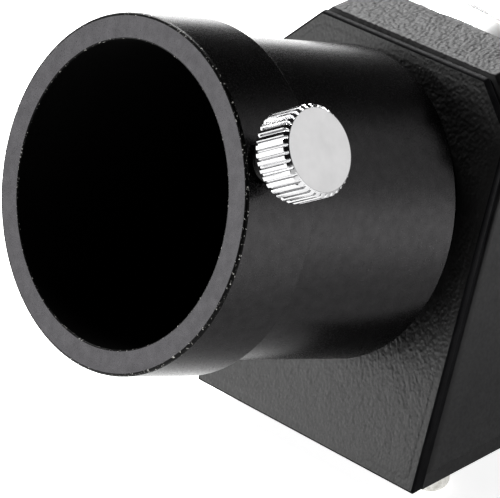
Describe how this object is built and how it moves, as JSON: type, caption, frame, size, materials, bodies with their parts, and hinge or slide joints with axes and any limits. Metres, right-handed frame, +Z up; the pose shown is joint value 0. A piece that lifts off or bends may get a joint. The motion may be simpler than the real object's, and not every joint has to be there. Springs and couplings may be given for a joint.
{
  "type": "erecting prism star diagonal",
  "caption": "Erecting-prism star diagonal that turns a telescope's light path by 45 degrees, with an eyepiece socket, clamping thumbscrew and push-fit nosepiece.",
  "frame": {"origin": "centre of the base plate's flat underside", "axes": "+X to the right seen from the eyepiece, +Y towards the telescope, +Z up, square to the base plate"},
  "size_m": [0.044, 0.0974, 0.0584],
  "materials": {
    "grained_plastic": "leather-grained satin black",
    "smooth_plastic": "smooth satin black",
    "black_aluminium": "fine bead-blasted satin black anodising",
    "chrome": "bright chrome plating",
    "bright_steel": "bright zinc-plated",
    "spring_steel": "rolled",
    "nylon": "natural nylon",
    "optical_glass": "polished",
    "felt": "black felt",
    "mask_black": "flat black"
  },
  "bodies": {
    "housing": {"housing_body": "grained_plastic", "eyepiece_side_plate": "grained_plastic", "nosepiece_side_plate": "grained_plastic", "base_plate": "smooth_plastic", "base_plate_screws": "bright_steel", "cradle_screws": "bright_steel", "eyepiece_holder": "black_aluminium", "nosepiece_collar": "chrome", "eyepiece_lock_ring": "black_aluminium", "nosepiece_lock_ring": "black_aluminium", "nosepiece_barrel": "chrome", "roof_prism": "optical_glass", "prism_cradle": "smooth_plastic", "prism_bed_strips": "felt", "prism_side_pads": "felt", "prism_strap_pad": "felt", "prism_strap": "spring_steel", "prism_strap_screws": "bright_steel", "eyepiece_side_mask": "mask_black", "nosepiece_side_mask": "mask_black"},
    "tip_pad": {"thumb_screw_tip": "nylon"},
    "thumb_screw": {"thumb_screw": "chrome"}
  },
  "joints": [
    {"name": "thumb_screw_feed", "type": "slide", "parent": "housing", "child": "tip_pad", "axis": [-0.8805, -0.1814, -0.438], "range_m": [-0.0014, 0.0028]},
    {"name": "thumb_screw_turn", "type": "hinge", "parent": "tip_pad", "child": "thumb_screw", "pos_m": [0.02113, -0.03708, 0.04832], "axis": [-0.8805, -0.1814, -0.438], "range_deg": [-720, 1440]}
  ],
  "couplings": [
    {"joint": "thumb_screw_turn", "follows": "thumb_screw_feed", "rad_per_m": 8976}
  ]
}
